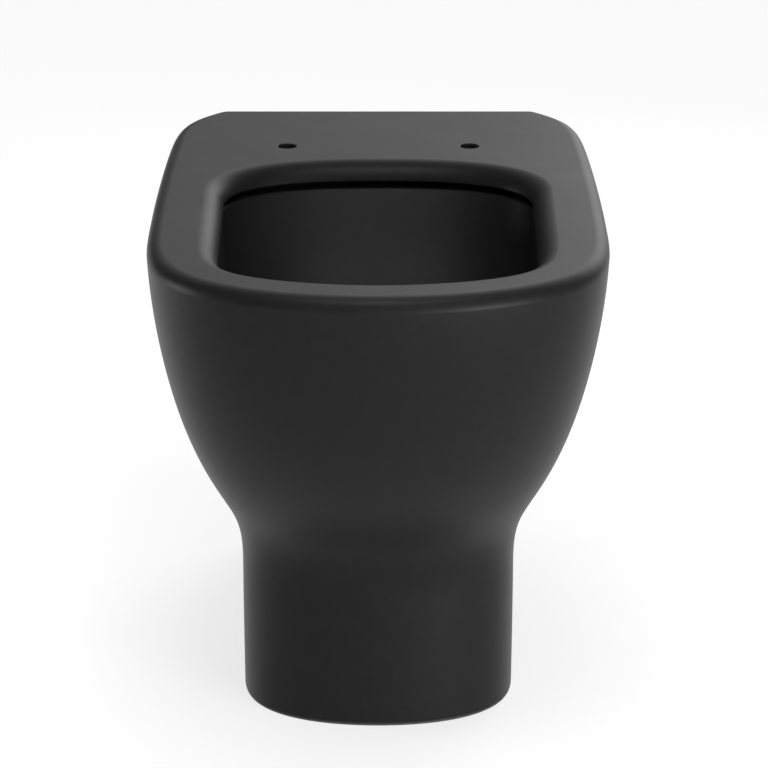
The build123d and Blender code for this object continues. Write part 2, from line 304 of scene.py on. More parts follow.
@dataclass(frozen=True)
class BlackGlaze(Finish):
    """Satin black glaze, a little uneven, thinned to a paler line where it meets the floor."""

    waves: float = 0.055
    clouds_per_wave: float = 6.0
    cloud_share: float = 0.22
    peel: float = 0.0022
    speck_spacing: float = 0.0088
    speck_share: float = 0.4
    palest: float = 1.6
    foot_line: Color = (0.30, 0.27, 0.23)
    foot_line_least: float = 0.4
    wave_height: float = 0.75
    cloud_height: float = 0.03
    peel_height: float = 0.05
    wave_gloss: float = 0.06
    peel_gloss: float = 0.04

    def surface(self, shader: Shader) -> dict[str, Value]:
        """Draws mottled black, slow waves of gloss and a fine orange peel.

        Args:
            shader: the material's shader.

        Returns:
            Inputs of the surface shader.
        """
        height = shader.place().parts()[2]
        slow = shader.noise(self.waves, detail=3.0)
        cloud = shader.noise(self.waves / self.clouds_per_wave, detail=4.0)
        fine = shader.noise(self.peel, detail=1.0)
        tiny = shader.specks(self.speck_spacing, share=0.09)
        thin = height.ramp(low=0.0035, high=0.0005) * (self.foot_line_least + cloud)
        pale = cloud.ramp(low=0.3, high=0.75) * self.cloud_share + tiny * self.speck_share
        black = shader.mix(pale, self.color, self.toned(self.palest))
        relief = slow * self.wave_height + fine * self.peel_height + cloud * self.cloud_height
        return {
            "Base Color": shader.mix(thin.held() * 0.5, black, self.foot_line),
            "Roughness": self.roughness + (slow - 0.5) * self.wave_gloss + (fine - 0.5) * self.peel_gloss,
            "Normal": shader.bump(relief, depth=0.0010, strength=0.25),
        }


@dataclass(frozen=True)
class BareClay(Finish):
    """Fired body left bare inside, with a dusting of black glaze round its open edges."""

    sponge_marks: float = 0.004
    clouds: float = 0.05
    grain: float = 0.0007
    pore_spacing: float = 0.006
    pore_color: Color = (0.30, 0.27, 0.23)
    pore_share: float = 0.6
    darkest: float = 0.86
    overspray: Color = (0.035, 0.034, 0.033)
    overspray_at_wall: tuple[float, float] = (0.05, 0.004)
    overspray_at_foot: tuple[float, float] = (0.035, 0.002)
    overspray_edge: float = 1.5
    overspray_clouds: float = 1.6
    overspray_least: float = 0.15
    sponge_height: float = 0.7
    grain_height: float = 0.3
    grain_gloss: float = 0.3

    def surface(self, shader: Shader) -> dict[str, Value]:
        """Draws cast clay with sponge marks, pores, and overspray near the wall and the foot.

        Args:
            shader: the material's shader.

        Returns:
            Inputs of the surface shader.
        """
        _, along, height = shader.place().parts()
        sponge = shader.noise(self.sponge_marks, detail=4.0)
        cloud = shader.noise(self.clouds, detail=3.0)
        grain = shader.noise(self.grain, detail=2.0)
        pores = shader.specks(self.pore_spacing, share=0.10)
        near_wall = along.ramp(*(cad_box[1][1] - reach for reach in self.overspray_at_wall))
        edge = near_wall.most(height.ramp(*self.overspray_at_foot))
        dust = edge * self.overspray_edge + (cloud - 0.5) * self.overspray_clouds
        dust = (dust + (sponge - 0.5) * 0.5 - self.overspray_least).held()
        body = shader.mix(cloud.ramp(low=0.35, high=0.7), self.color, self.toned(self.darkest))
        body = shader.mix(pores * self.pore_share, body, self.pore_color)
        relief = sponge * self.sponge_height + grain * self.grain_height - pores * 0.5
        return {
            "Base Color": shader.mix(dust, body, self.overspray),
            "Roughness": self.roughness + (grain - 0.5) * self.grain_gloss,
            "Normal": shader.bump(relief, depth=0.0006, strength=0.5),
        }


@dataclass(frozen=True)
class MouldedPlastic(Finish):
    """Moulded plastic with a spark-eroded grain and, if filled, faint flow lines of glass fibre."""

    grain: float = 0.0005
    clouds: float = 0.012
    fibres: float = 0.0012
    fibre_stretch: tuple[float, float, float] = (1.0, 1.0, 0.12)
    flow: float = 0.0
    palest: float = 1.35
    palest_lift: float = 0.004
    grain_gloss: float = 0.2
    cloud_gloss: float = 0.08

    def surface(self, shader: Shader) -> dict[str, Value]:
        """Draws faint clouding, a fine grain and the flow lines.

        Args:
            shader: the material's shader.

        Returns:
            Inputs of the surface shader.
        """
        cloud = shader.noise(self.clouds, detail=3.0)
        grain = shader.noise(self.grain, detail=2.0)
        fibre = shader.noise(self.fibres, detail=3.0, stretch=self.fibre_stretch)
        pale = tuple(part + self.palest_lift for part in self.toned(self.palest))
        shade = cloud.ramp(low=0.3, high=0.75) * 0.5 + fibre.ramp(low=0.55, high=0.8) * self.flow
        rough = self.roughness + (grain - 0.5) * self.grain_gloss + (cloud - 0.5) * self.cloud_gloss
        return {
            "Base Color": shader.mix(shade.held(), self.color, pale),
            "Roughness": rough,
            "Normal": shader.bump(grain + fibre * self.flow, depth=0.00012, strength=0.5),
        }


@dataclass(frozen=True)
class ZincPlate(Finish):
    """Zinc plated steel with a faint bloom and fine scratches."""

    clouds: float = 0.006
    scratches: float = 0.0009
    scratch_stretch: tuple[float, float, float] = (6.0, 1.0, 1.0)
    warm_tones: Color = (0.93, 0.88, 0.74)
    cloud_gloss: float = 0.25
    scratch_gloss: float = 0.15

    def surface(self, shader: Shader) -> dict[str, Value]:
        """Draws bright plate, clouded, with scratches along the turning.

        Args:
            shader: the material's shader.

        Returns:
            Inputs of the surface shader.
        """
        cloud = shader.noise(self.clouds, detail=4.0)
        scratch = shader.noise(self.scratches, detail=3.0, stretch=self.scratch_stretch)
        warm = tuple(part * tone for part, tone in zip(self.color, self.warm_tones))
        rough = self.roughness + (cloud - 0.5) * self.cloud_gloss + (scratch - 0.5) * self.scratch_gloss
        return {
            "Base Color": shader.mix(cloud.ramp(low=0.4, high=0.75), self.color, warm),
            "Metallic": 1.0,
            "Roughness": rough,
            "Normal": shader.bump(scratch, depth=0.00008, strength=0.4),
        }


@dataclass(frozen=True)
class SealRubber(Finish):
    """Black moulded rubber with a dusty bloom."""

    bloom: float = 0.008
    bloom_color: Color = (0.085, 0.083, 0.08)
    tooth: float = 0.0006
    tooth_gloss: float = 0.2

    def surface(self, shader: Shader) -> dict[str, Value]:
        """Draws matt black with chalky patches and a fine tooth.

        Args:
            shader: the material's shader.

        Returns:
            Inputs of the surface shader.
        """
        bloom = shader.noise(self.bloom, detail=4.0)
        tooth = shader.noise(self.tooth, detail=2.0)
        return {
            "Base Color": shader.mix(bloom.ramp(low=0.45, high=0.8) * 0.5, self.color, self.bloom_color),
            "Roughness": self.roughness + (tooth - 0.5) * self.tooth_gloss,
            "Normal": shader.bump(tooth * 0.5 + bloom * 0.5, depth=0.0002, strength=0.5),
        }


GLAZE = BlackGlaze("black_glaze", (0.013, 0.013, 0.0131), 0.42, 0.12)
CLAY = BareClay("bare_clay", (0.70, 0.66, 0.59), 0.62, 0.3)
NYLON = MouldedPlastic("bracket_nylon", (0.55, 0.55, 0.54), 0.45, 0.4, flow=0.5)
ZINC = ZincPlate("zinc_steel", (0.72, 0.73, 0.74), 0.32)
SLEEVE = MouldedPlastic("sleeve_plastic", (0.62, 0.62, 0.60), 0.38, 0.45)
CAP = MouldedPlastic("cap_black", (0.010, 0.010, 0.0105), 0.36, 0.35, grain=0.0004)
RUBBER = SealRubber("seal_rubber", (0.022, 0.022, 0.023), 0.62, 0.35)


@dataclass(frozen=True)
class PaleFloor:
    """Plain pale studio floor. What sees it directly or in a reflection sees it near white."""

    name: str = "pale_floor"
    color: Color = (0.43, 0.43, 0.43)
    palest: float = 1.02
    patches: float = 0.8
    lift: float = 0.71
    half_size: float = 30.0

    def material(self) -> bpy.types.Material:
        """Makes the floor's material: diffuse, with a lift for camera, glossy and clear rays.

        Returns:
            The material.
        """
        made = bpy.data.materials.new(self.name)
        made.use_nodes = True
        shader = Shader(made.node_tree)
        rays = shader.node("ShaderNodeLightPath", {}, {}).outputs
        seen = Socket(shader, rays["Is Camera Ray"]) + Socket(shader, rays["Is Glossy Ray"])
        seen = (seen + Socket(shader, rays["Is Transmission Ray"])).held()
        pale = tuple(self.palest * part for part in self.color)
        tone = shader.mix(shader.noise(self.patches, detail=3.0), self.color, pale)
        matt = shader.node("ShaderNodeBsdfDiffuse", {}, {"Color": tone})
        white = {"Color": (1.0, 1.0, 1.0), "Strength": self.lift * seen}
        glow = shader.node("ShaderNodeEmission", {}, white)
        both = {0: Link(shader, matt.outputs[0]), 1: Link(shader, glow.outputs[0])}
        shader.close("ShaderNodeOutputMaterial", shader.node("ShaderNodeAddShader", {}, both))
        return made

    def build(self) -> bpy.types.Object:
        """Lays the floor under the object.

        Returns:
            The floor.
        """
        mesh = bpy.data.meshes.new(self.name)
        half = self.half_size
        corners = [(-half, -half, 0.0), (half, -half, 0.0), (half, half, 0.0), (-half, half, 0.0)]
        mesh.from_pydata(corners, [], [(0, 1, 2, 3)])
        mesh.materials.append(self.material())
        floor = bpy.data.objects.new(self.name, mesh)
        bpy.context.collection.objects.link(floor)
        return floor


@dataclass(frozen=True)
class Glow:
    """One broad soft glow of the light tent, which fades with the angle from its middle.

    Its azimuth is 0 behind the object and 90 to its right, and its height is above the horizon, both in
    degrees.
    """

    azimuth: float
    height: float
    tightness: float
    strength: float

    def middle(self) -> tuple[float, float, float]:
        """The direction of its middle."""
        turn, rise = math.radians(self.azimuth), math.radians(self.height)
        return (math.sin(turn) * math.cos(rise), math.cos(turn) * math.cos(rise), math.sin(rise))


@dataclass(frozen=True)
class SoftBox:
    """One rectangular studio light that faces the object, in metres and watts."""

    place: tuple[float, float, float]
    size: tuple[float, float]
    power: float
    target: tuple[float, float, float] = (0.0, 0.0, 0.25)

    def build(self, name: str) -> None:
        """Adds the light to the scene.

        Args:
            name: the light's name.
        """
        data = bpy.data.lights.new(name, "AREA")
        data.shape = "RECTANGLE"
        data.size, data.size_y = self.size
        data.energy = self.power
        lamp = bpy.data.objects.new(name, data)
        lamp.location = self.place
        aim = Vector(self.target) - Vector(self.place)
        lamp.rotation_euler = aim.to_track_quat("-Z", "Y").to_euler()
        lamp.visible_camera = False
        bpy.context.collection.objects.link(lamp)


@dataclass
class Studio:
    """Soft light from behind, above and the front right, with the photograph's camera."""

    camera_place: tuple[float, float, float] = (0.0, -3.0188, 1.267)
    camera_pitch: float = 71.218
    sensor: float = 36.0
    lens: float = 181.35
    shift: tuple[float, float] = (0.0076, 0.0004)
    farthest: float = 200.0
    tent_light: float = 0.02
    glows: dict[str, Glow] = field(default_factory=lambda: {
        "back_right": Glow(25.0, 22.0, 16.0, 2.6),
        "back_top": Glow(0.0, 50.0, 8.0, 1.65),
        "front_right": Glow(140.0, 15.0, 16.0, 2.4),
        "front_top": Glow(180.0, 45.0, 8.0, 0.45),
    })
    boxes: dict[str, SoftBox] = field(default_factory=lambda: {
        "low_front_box": SoftBox((1.6, -2.4, 0.25), (1.2, 0.45), 38.0),
        "low_right_box": SoftBox((2.0, -2.0, 0.3), (0.9, 0.5), 14.0),
        "left_box": SoftBox((-2.0, 0.2, 0.4), (0.8, 0.8), 14.0),
        "back_box": SoftBox((0.6, 1.5, 0.75), (0.8, 0.8), 1.5),
        "top_box": SoftBox((0.0, -0.6, 1.7), (0.6, 0.6), 7.0),
    })
    floor: PaleFloor = field(default_factory=PaleFloor)

    def set_camera(self) -> None:
        """Places the camera at the photograph's viewing angle."""
        data = bpy.data.cameras.new("camera")
        data.sensor_width = self.sensor
        data.lens = self.lens
        data.shift_x, data.shift_y = self.shift
        data.clip_end = self.farthest
        camera = bpy.data.objects.new("camera", data)
        camera.location = self.camera_place
        camera.rotation_euler = (math.radians(self.camera_pitch), 0.0, 0.0)
        bpy.context.collection.objects.link(camera)
        bpy.context.scene.camera = camera

    def set_world(self) -> None:
        """Fills the world with a light tent: a faint even light and the glows."""
        world = bpy.data.worlds.new("light_tent")
        bpy.context.scene.world = world
        world.use_nodes = True
        shader = Shader(world.node_tree)
        way = shader.place("Generated")
        light = self.tent_light
        for glow in self.glows.values():
            light = light + way.dot(glow.middle()).most(0.0) ** glow.tightness * glow.strength
        back = shader.node("ShaderNodeBackground", {}, {"Color": (1.0, 1.0, 1.0), "Strength": light})
        shader.close("ShaderNodeOutputWorld", back)

    def build(self) -> None:
        """Sets the camera, the light and the floor."""
        bpy.context.scene.view_settings.view_transform = "Standard"
        self.set_camera()
        self.set_world()
        for name, box in self.boxes.items():
            box.build(name)
            log.info("added light %s", name)
        self.floor.build()
        log.info("laid %s", self.floor.name)


def bernstein(degree: int, share: np.ndarray) -> np.ndarray:
    """Weights of a Bezier curve's control points.

    Args:
        degree: the curve's degree.
        share: how far along the curve each wanted point lies.

    Returns:
        A row of weights for each share.
    """
    step = np.arange(degree + 1)
    ways = np.array([math.comb(degree, number) for number in step])
    share = np.asarray(share)[:, None]
    return ways * share**step * (1.0 - share) ** (degree - step)


def bezier(controls: Sequence, share: np.ndarray) -> np.ndarray:
    """Points of a Bezier curve at each share of the way along it."""
    return bernstein(len(controls) - 1, share) @ np.asarray(controls, dtype=float)


def share_at(profile: Pairs, level: float) -> float:
    """Share of the way up a side's profile at which it reaches a level."""
    share = np.linspace(0.0, 1.0, PROFILE_SAMPLES)
    return float(np.interp(level, bezier([up for _, up in profile], share), share))


def unit(vectors: np.ndarray) -> np.ndarray:
    """Vectors scaled to length 1."""
    return vectors / np.linalg.norm(vectors, axis=-1, keepdims=True)


def between(low: float, high: float, share: float) -> float:
    """Value part of the way from one value to another."""
    return low + (high - low) * share


def arc(radius: float, runs: int) -> list[tuple[float, float]]:
    """Quarter arc that rounds an edge.

    Args:
        radius: its radius.
        runs: number of its straight runs.

    Returns:
        How far in from the side and how far down from the top each point lies, from the side up.
    """
    turns = np.linspace(0.0, QUARTER, runs + 1)
    return [(radius * (1.0 - math.cos(turn)), radius * (1.0 - math.sin(turn))) for turn in turns]


def smooth_through(table: np.ndarray, wanted: float) -> np.ndarray:
    """Smooth reading of a table between its rows.

    Args:
        table: rows of a place, rising, and its values.
        wanted: the place to read.

    Returns:
        The values at that place.
    """
    places, values = table[:, 0], table[:, 1:]
    slopes = np.gradient(values, places, axis=0)
    low = int(np.clip(np.searchsorted(places, wanted) - 1, 0, len(places) - 2))
    span = places[low + 1] - places[low]
    share = (wanted - places[low]) / span
    blend = share * share * (3.0 - 2.0 * share)
    lean = share * (1.0 - share) * span * (slopes[low] * (1.0 - share) - slopes[low + 1] * share)
    return values[low] + (values[low + 1] - values[low]) * blend + lean


def rounded_route(corners: Pairs, radii: Sequence[float], steps: int) -> np.ndarray:
    """Line of straight runs joined by tangent arcs, in a plane.

    Args:
        corners: its ends and corners.
        radii: a radius for each corner.
        steps: number of points to each arc.

    Returns:
        The points of the line.
    """
    corners = np.asarray(corners, dtype=float)
    line = [corners[0]]
    for before, corner, after, radius in zip(corners, corners[1:], corners[2:], radii):
        back, ahead = unit(before - corner), unit(after - corner)
        turn = math.pi - math.acos(float(back @ ahead))
        setback = radius * math.tan(turn / 2)
        middle = corner + unit(back + ahead) * radius / math.cos(turn / 2)
        first, last = corner + back * setback - middle, corner + ahead * setback - middle
        for share in np.linspace(0.0, 1.0, steps):
            mixed = first * math.sin((1.0 - share) * turn) + last * math.sin(share * turn)
            line.append(middle + mixed / math.sin(turn))
    line.append(corners[-1])
    return np.array(line)


def placed(flat: np.ndarray, level: float | np.ndarray) -> np.ndarray:
    """Points of the shared frame, from their distances across and out from the wall and a level."""
    across, reach = np.asarray(flat, dtype=float).T
    return np.stack(np.broadcast_arrays(across, WALL_Y - reach, level), axis=-1)


def outward(line: np.ndarray, closed: bool) -> np.ndarray:
    """Directions square to a line in plan, away from the middle of the pan.

    Args:
        line: its points, from the right of the rear round the front to the left.
        closed: whether it closes on itself.

    Returns:
        A direction for each point.
    """
    along = np.roll(line, -1, axis=0) - np.roll(line, 1, axis=0) if closed else np.gradient(line, axis=0)
    return unit(np.stack((along[:, 1], -along[:, 0]), axis=1))


def moved_in(line: np.ndarray, inward: float) -> np.ndarray:
    """An open line in plan moved in square to itself."""
    return line - outward(line, closed=False) * inward


@contextmanager
def mended(mesh: bpy.types.Mesh) -> Iterator[bmesh.types.BMesh]:
    """Opens a mesh for work, and puts the work back into it when the block ends.

    Args:
        mesh: the mesh.

    Returns:
        The mesh as a bmesh.
    """
    work = bmesh.new()
    work.from_mesh(mesh)
    yield work
    work.to_mesh(mesh)
    work.free()


def cut_out(base: bpy.types.Object, forms: Sequence[bpy.types.Object]) -> None:
    """Cuts closed solids out of an object, one after the other, and removes them.

    Args:
        base: the object that is cut.
        forms: the solids.
    """
    for form in forms:
        cutter = base.modifiers.new("cut_out", "BOOLEAN")
        cutter.operation = "DIFFERENCE"
        cutter.solver = "EXACT"
        cutter.object = form
        ready = base.evaluated_get(bpy.context.evaluated_depsgraph_get())
        mesh = bpy.data.meshes.new_from_object(ready)
        base.modifiers.clear()
        base.data = mesh
        log.info("cut %s out of %s, %d faces", form.name, base.name, len(mesh.polygons))
        bpy.data.objects.remove(form)


class Skin(Enum):
    """What a face of the casting is left with after firing."""

    GLAZED = 0
    BARE = 1


class Axis(Enum):
    """Which way the axis of a turned form runs."""

    ACROSS = 0
    ALONG = 1


class Mould:
    """Rings of points and the faces between them, which become one closed mesh."""

    def __init__(self) -> None:
        """Starts with no points and no faces."""
        self.points: list[tuple[float, ...]] = []
        self.faces: list[list[int]] = []
        self.skins: list[Skin] = []

    def ring(self, points: np.ndarray) -> list[int]:
        """Adds a row of points and returns their numbers."""
        self.points.extend(map(tuple, points))
        return list(range(len(self.points) - len(points), len(self.points)))

    def rings(self, rows: Iterable[Row]) -> list[list[int]]:
        """Adds a ring for each line in plan and its level, and returns the rings."""
        return [self.ring(placed(line, level)) for line, level in rows]

    def face(self, numbers: list[int], skin: Skin) -> None:
        """Adds one face."""
        self.faces.append(numbers)
        self.skins.append(skin)

    def wrap(self, rings: Sequence[list[int]], skin: Skin) -> None:
        """Adds the quads between closed rings of as many points each.

        Args:
            rings: the rings in order.
            skin: the finish of the faces.
        """
        for low, high in zip(rings, rings[1:]):
            for number in range(len(low)):
                after = (number + 1) % len(low)
                self.face([low[number], low[after], high[after], high[number]], skin)

    def solid(self, rings: Sequence[list[int]], skin: Skin) -> "Mould":
        """Adds a closed solid through rings, with a flat face at each end.

        Args:
            rings: the rings in order.
            skin: the finish of its faces.

        Returns:
            This mould.
        """
        self.wrap(rings, skin)
        self.face(rings[0], skin)
        self.face(rings[-1], skin)
        return self

    def plate(self, outline: list[int], holes: Sequence[list[int]], skin: Skin) -> None:
        """Adds a level plate with holes, in triangles.

        Args:
            outline: the ring round it.
            holes: the rings of its holes.
            skin: the finish of its faces.
        """
        numbers, borders = [], []
        for ring in (outline, *holes):
            borders.append(list(range(len(numbers), len(numbers) + len(ring))))
            numbers += ring
        flat = [Vector(self.points[number][:2]) for number in numbers]
        made = geometry.delaunay_2d_cdt(flat, [], borders, INSIDE_WITHOUT_HOLES, SAME_POINT)
        _, _, triangles, sources, *_ = made
        for corners in triangles:
            self.face([numbers[sources[corner][0]] for corner in corners], skin)

    def turned(self, profile: Pairs, middle: Sequence[float], axis: Axis, skin: Skin) -> "Mould":
        """Adds a closed turned solid.

        Args:
            profile: places along the axis, each with a radius.
            middle: a point on the axis.
            axis: which way the axis runs.
            skin: the finish of its faces.

        Returns:
            This mould.
        """
        rings = []
        for place, radius in profile:
            points = np.tile(np.asarray(middle, dtype=float), (len(ROUND), 1))
            points[:, axis.value] = place
            points[:, 1 - axis.value] += radius * np.cos(ROUND)
            points[:, 2] += radius * np.sin(ROUND)
            rings.append(self.ring(points))
        return self.solid(rings, skin)

    def tube(self, route: np.ndarray, radius: float, skin: Skin) -> "Mould":
        """Adds a closed round bar along a route in the middle plane.

        Args:
            route: the reach and the level of each of its points.
            radius: its radius.
            skin: the finish of its faces.

        Returns:
            This mould.
        """
        rows = []
        for (reach, level), (ahead, rise) in zip(route, unit(np.gradient(route, axis=0))):
            side = radius * np.sin(ROUND)
            flat = np.stack((radius * np.cos(ROUND), reach - side * rise), axis=1)
            rows.append((flat, level + side * ahead))
        return self.solid(self.rings(rows), skin)

    def block(self, half: float, reaches: Sequence[float], levels: Sequence[float], skin: Skin) -> "Mould":
        """Adds a closed block in the middle of the pan.

        Args:
            half: its half width.
            reaches: its near and far reach.
            levels: its lowest and highest level.
            skin: the finish of its faces.

        Returns:
            This mould.
        """
        near, far = reaches
        flat = [(half, near), (half, far), (-half, far), (-half, near)]
        return self.solid(self.rings((flat, level) for level in levels), skin)

    def pour(self, name: str, materials: Sequence[bpy.types.Material]) -> bpy.types.Object:
        """Makes the mesh object.

        Args:
            name: its name.
            materials: its materials, in the order of the skins.

        Returns:
            The object, with its normals outward.
        """
        mesh = bpy.data.meshes.new(name)
        mesh.from_pydata(self.points, [], self.faces)
        for material in materials:
            mesh.materials.append(material)
        mesh.polygons.foreach_set("material_index", [skin.value for skin in self.skins])
        with mended(mesh) as work:
            bmesh.ops.recalc_face_normals(work, faces=work.faces)
        made = bpy.data.objects.new(name, mesh)
        bpy.context.collection.objects.link(made)
        return made


@dataclass
class Pan:
    """The ceramic casting: rim, bowl, pedestal, flush channel, trapway, outlet and flush inlet."""

    width: float = 0.36494
    depth: float = 0.54990
    height: float = 0.400
    wall: float = 0.012
    hollow_lift: float = 0.004
    rim_radius: float = 0.012
    foot_radius: float = 0.002
    widest_reach: float = 0.327
    rim_half_at_wall: float = 0.1477
    waist_half: float = 0.111
    waist_half_at_wall: float = 0.105
    waist_front: float = 0.427
    shoulder_reaches: Numbers = (-0.030, 0.0338, 0.050, 0.0923)
    shoulder_tucks: Numbers = (1.87, -0.224, 0.384, 0.0)
    rim_nose: Numbers = (0.549, 1.000, 0.783, 0.552)
    waist_nose: Numbers = (0.540, 0.824, 0.817, 0.456)
    foot_profile: Pairs = ((-0.010, 0.0), (0.0, 0.055), (0.0, 0.110))
    flank_profile: Pairs = ((0.0, 0.110), (0.0, 0.192), (0.533, 0.1574), (0.992, 0.314), (1.005, 0.400))

    opening_rear: float = 0.1705
    opening_front: float = 0.4986
    opening_half: float = 0.1266
    side_reaches: tuple[float, float] = (0.247, 0.372)
    side_taper: float = 0.008
    rear_corner: Pairs = ((0.0, 0.0), (0.0604, 0.0), (0.112, 0.009))
    rear_corner_handle: float = 0.030
    front_corner: Pairs = ((0.122, 0.027), (0.061, 0.0), (0.0, 0.0))
    front_corner_handle: float = 0.095
    roll_width: float = 0.0165
    roll_turn: float = 66.0
    overhang: float = 0.016
    slot_height: float = 0.006
    slot_edge_radius: float = 0.0012
    slot_roof_start: float = 0.004
    lip_setback: float = 0.0025
    lip_thickness: float = 0.0085
    lip_radius: float = 0.003
    lip_back_radius: float = 0.0008
    lip_clearance: float = 1.6
    channel_width: float = 0.012
    channel_depth: float = 0.022
    channel_wall: float = 0.010

    bowl_levels: tuple[Numbers, ...] = (
        (0.332, 0.199, 0.494, 0.123),
        (0.282, 0.236, 0.474, 0.108),
        (0.230, 0.262, 0.438, 0.086),
        (0.180, 0.274, 0.400, 0.064),
        (0.140, 0.279, 0.374, 0.050),
        (0.114, 0.286, 0.364, 0.043),
        (0.104, 0.300, 0.350, 0.030),
    )
    sump_wall: float = 0.014

    trap_bore: float = 0.056
    trap_wall: float = 0.010
    trap_route: Pairs = ((0.325, 0.130), (0.252, 0.130), (0.181, 0.302), (0.126, 0.185), (0.096, 0.185))
    trap_bends: Numbers = (0.050, 0.045, 0.040)
    outlet_diameter: float = 0.102
    outlet_bore: float = 0.085
    outlet_end_reach: float = 0.070
    outlet_length: float = 0.030
    outlet_flare: float = 0.014
    spigot_radius: float = 0.002
    inlet_height: float = 0.330
    inlet_diameter: float = 0.076
    inlet_bore: float = 0.055
    inlet_end_reach: float = 0.100
    inlet_bore_end_reach: float = 0.165
    inlet_past_opening: float = 0.048
    chamber_width: float = 0.054
    chamber_rear_reach: float = 0.140
    chamber_wall: float = 0.010

    seat_spacing: float = 0.155
    seat_reach: float = 0.115
    seat_hole: float = 0.0155
    seat_hole_radius: float = 0.0012
    seat_hole_overrun: float = 0.004
    side_hole: float = 0.014
    side_reach: float = 0.140
    side_height: float = 0.042

    shoulder_steps: int = 34
    nose_steps: int = 40
    corner_steps: int = 26
    straight_steps: int = 8
    foot_rows: int = 12
    flank_rows: int = 46
    foot_edge_runs: int = 4
    rim_edge_runs: int = 12
    roll_rows: int = 15
    slot_edge_runs: int = 4
    slot_roof_rows: int = 6
    lip_back_runs: int = 3
    lip_rows: int = 9
    bowl_rows: int = 42
    bowl_outside_rows: int = 26
    hollow_foot_rows: int = 8
    hollow_flank_rows: int = 27
    seat_hole_rows: int = 6
    spigot_edge_runs: int = 5
    bend_points: int = 12
    sharp_over: float = 38.0
    overrun: float = 0.001
    weld: float = 2e-6

    def __post_init__(self) -> None:
        """Works out the levels, growths and lines that follow from the sizes."""
        self.underside = self.height - self.wall
        self.slot_top = self.height - self.overhang
        self.lip_top = self.slot_top - self.slot_height
        self.channel_floor = self.slot_top - self.channel_depth
        self.channel_inside = self.lip_setback + self.lip_thickness
        self.channel_outside = self.channel_inside + self.channel_width
        self.rim_box = self.channel_outside + self.channel_wall
        self.rim_box_floor = self.channel_floor - self.channel_wall
        self.trap_line = rounded_route(self.trap_route, self.trap_bends, self.bend_points)
        self.flare_reach = self.outlet_end_reach + self.outlet_length
        self.outlet_middle = (0.0, 0.0, self.trap_route[-1][1])
        self.inlet_middle = (0.0, 0.0, self.inlet_height)
        self.materials: list[bpy.types.Material] = []

    def body_curves(self, share: float, inset: float) -> tuple[list, list]:
        """Control points of the right half of the outline.

        Args:
            share: how far out from the waist to the rim.
            inset: how far inside the outline.

        Returns:
            Those of the shoulder and of the nose, as distances across and out from the wall.
        """
        half = between(self.waist_half, self.width / 2, share) - inset
        at_wall = between(self.waist_half_at_wall, self.rim_half_at_wall, share) - inset
        front = between(self.waist_front, self.depth, share) - inset
        handles = [between(low, high, share) for low, high in zip(self.waist_nose, self.rim_nose)]
        along, aside, forward, across = handles
        run = front - self.widest_reach
        tucks = zip(self.shoulder_tucks, self.shoulder_reaches)
        shoulder = [(half - tuck * (half - at_wall), reach) for tuck, reach in tucks]
        nose = [
            (half, self.widest_reach),
            (half, self.widest_reach + along * run),
            (half * aside, self.widest_reach + forward * run),
            (half * across, front),
            (0.0, front),
        ]
        return [*shoulder, nose[0]], nose

    def body_rows(self, profile: Pairs, shares: np.ndarray, inset: float) -> list[Row]:
        """Rows of points on one side surface, from the right of the wall round the front to the left.

        Args:
            profile: control points of the side, each a share of the way out and a level.
            shares: where on the profile the rows lie.
            inset: how far inside the outline.

        Returns:
            The plan of each row, with its level.
        """
        curves = [self.body_curves(share, inset) for share, _ in profile]
        weights = bernstein(len(profile) - 1, shares)
        stations = (
            np.linspace(0.0, 1.0, self.shoulder_steps, endpoint=False),
            np.linspace(0.0, 1.0, self.nose_steps + 1),
        )
        halves = []
        for number, station in enumerate(stations):
            net = np.array([curve[number] for curve in curves])
            along = bernstein(net.shape[1] - 1, station)
            halves.append(np.einsum("rk,sj,kjc->rsc", weights, along, net))
        right = np.concatenate(halves, axis=1)
        left = right[:, -2::-1] * (-1.0, 1.0)
        plans = np.concatenate((right, left), axis=1)
        return list(zip(plans, weights @ [level for _, level in profile]))

    def outside(self) -> list[Row]:
        """Lines round the outside of the pan.

        Returns:
            The lines with their levels, from the foot's underside to the edge of the deck.
        """
        low = share_at(self.foot_profile, self.foot_radius)
        foot = self.body_rows(self.foot_profile, np.linspace(low, 1.0, self.foot_rows), 0.0)
        high = share_at(self.flank_profile, self.height - self.rim_radius)
        flank = self.body_rows(self.flank_profile, np.linspace(0.0, high, self.flank_rows)[1:], 0.0)
        edge = arc(self.foot_radius, self.foot_edge_runs)[:0:-1]
        rows = [(moved_in(foot[0][0], inward), down) for inward, down in edge]
        rows += foot + flank
        edge = arc(self.rim_radius, self.rim_edge_runs)[1:]
        rows += [(moved_in(flank[-1][0], inward), self.height - down) for inward, down in edge]
        return rows

    def opening_line(self, rear: float, front: float, half: float) -> np.ndarray:
        """Closed line with the opening's outline.

        Args:
            rear: the reach of its rear.
            front: the reach of its front.
            half: its half width.

        Returns:
            Its points, as distances across and out from the wall.
        """
        begin, end = self.side_reaches

        def beside(reach: float) -> tuple[float, float]:
            """Point on the straight part of a side, or on its run past its ends."""
            return self.opening_half - self.side_taper * (reach - begin), reach

